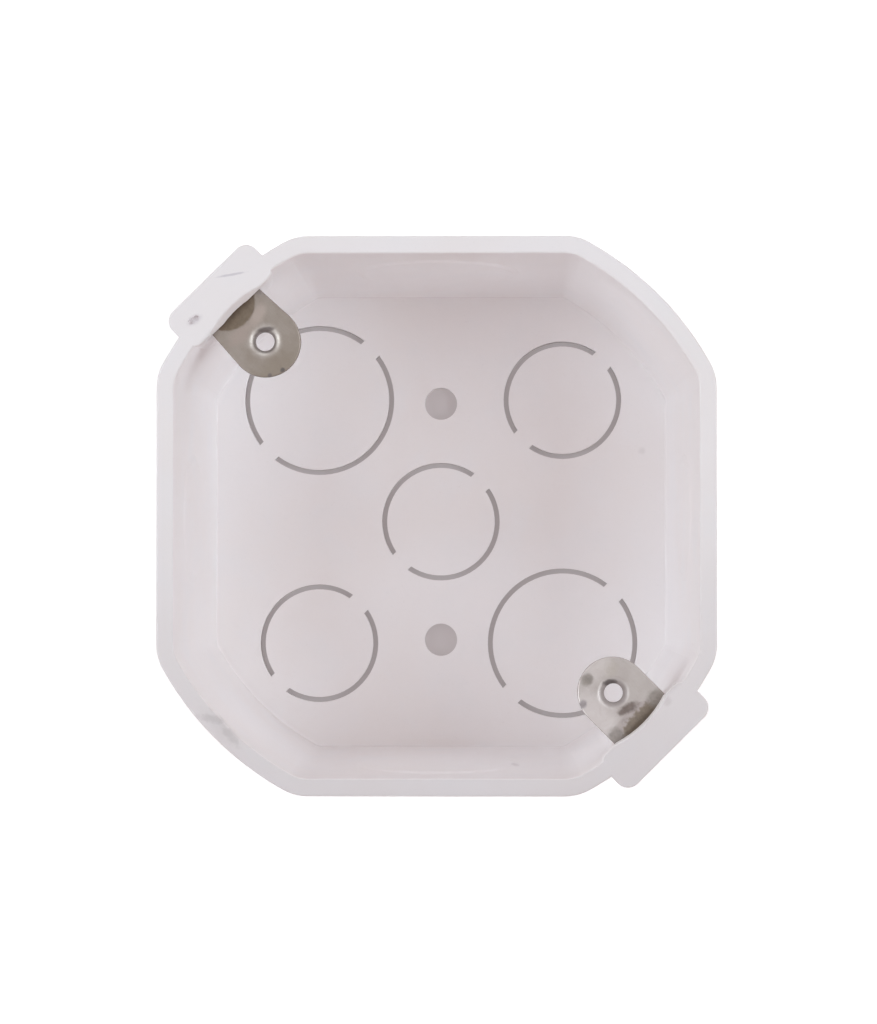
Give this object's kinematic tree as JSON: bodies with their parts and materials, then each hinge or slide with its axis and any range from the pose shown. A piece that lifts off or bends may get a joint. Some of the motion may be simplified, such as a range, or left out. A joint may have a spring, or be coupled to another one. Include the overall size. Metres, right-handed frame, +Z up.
{
  "type": "octagonal electrical box",
  "caption": "Open octagonal plastic electrical box with round knockout blanks in its floor and walls, and steel corner ears that take the cover screws.",
  "frame": {"origin": "centre of the underside", "axes": "+Z up, out of the open side; +X to the picture's right and +Y to its top, so the ears lie towards -X+Y and +X-Y"},
  "size_m": [0.1004, 0.1004, 0.054],
  "materials": {
    "plastic": "moulded, satin, off-white",
    "ear_steel": "plated sheet steel, dull and stained"
  },
  "bodies": {
    "root": {"box_body": "plastic", "left_screw_ear": "ear_steel", "right_screw_ear": "ear_steel"}
  },
  "joints": []
}
